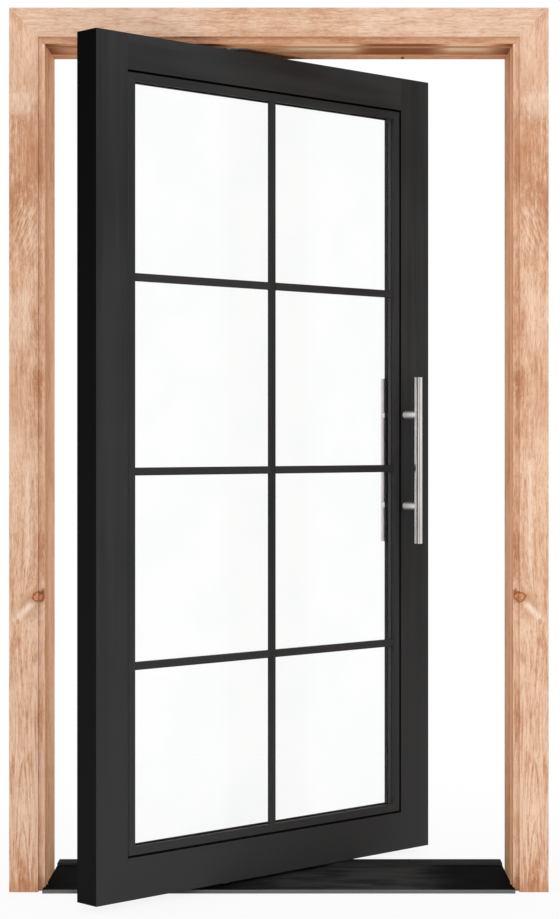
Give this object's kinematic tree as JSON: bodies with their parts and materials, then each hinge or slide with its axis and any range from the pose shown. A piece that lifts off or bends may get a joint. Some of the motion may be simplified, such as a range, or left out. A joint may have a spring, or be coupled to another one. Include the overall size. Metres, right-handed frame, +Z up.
{
  "type": "pivot door with frame",
  "caption": "Glazed black metal door that turns on pivots set in from one edge, standing part open in a mitred timber frame with a metal sill.",
  "frame": {"origin": "on the floor, midway between the jambs, in the plane of the casing's front", "axes": "+X to the right seen from the front, +Y in through the doorway, +Z up"},
  "size_m": [1.464, 0.9406, 2.4],
  "materials": {
    "timber": "planed and clear oiled",
    "seal_pile": "brown woven pile",
    "sill_metal": "black anodised",
    "pivot_steel": "turned",
    "bronze": "plain bearing bronze",
    "fixing_steel": "zinc plated",
    "leaf_metal": "satin black powder coat",
    "cleat_metal": "mill",
    "rubber": "matt black",
    "clear_glass": "clear float",
    "packer": "moulded",
    "handle_steel": "brushed"
  },
  "bodies": {
    "frame": {"casing_left": "timber", "casing_right": "timber", "casing_head": "timber", "jamb_left": "timber", "jamb_right": "timber", "head_board": "timber", "lining_left": "timber", "lining_right": "timber", "lining_head": "timber", "pile_seal_left": "seal_pile", "pile_seal_right": "seal_pile", "pile_seal_head": "seal_pile", "sill": "sill_metal", "floor_plate": "sill_metal", "top_housing": "pivot_steel", "top_housing_screws": "fixing_steel", "pivot_pins": "pivot_steel"},
    "leaf": {"bearing_blocks": "pivot_steel", "bearings": "bronze", "cleat_bolts": "fixing_steel", "handle_studs": "fixing_steel", "pivot_stile": "leaf_metal", "handle_stile": "leaf_metal", "top_rail": "leaf_metal", "bottom_rail": "leaf_metal", "pivot_stile_caps": "leaf_metal", "handle_stile_caps": "leaf_metal", "bead_left": "leaf_metal", "bead_right": "leaf_metal", "bead_bottom": "leaf_metal", "bead_top": "leaf_metal", "upright_bar": "leaf_metal", "cross_bar_left_1": "leaf_metal", "cross_bar_right_1": "leaf_metal", "cross_bar_left_2": "leaf_metal", "cross_bar_right_2": "leaf_metal", "cross_bar_left_3": "leaf_metal", "cross_bar_right_3": "leaf_metal", "corner_cleats": "cleat_metal", "front_gasket": "rubber", "rear_gasket": "rubber", "glass_edge_seal": "rubber", "front_pane": "clear_glass", "rear_pane": "clear_glass", "glass_spacer": "packer", "setting_blocks": "packer", "front_handle": "handle_steel", "front_handle_ends": "handle_steel", "front_handle_posts": "handle_steel", "rear_handle": "handle_steel", "rear_handle_ends": "handle_steel", "rear_handle_posts": "handle_steel"}
  },
  "joints": [
    {"name": "leaf_swing", "type": "hinge", "parent": "frame", "child": "leaf", "pos_m": [-0.152, 0.0815, 0], "axis": [0, 0, 1], "range_deg": [-43.7, 46.3]}
  ]
}
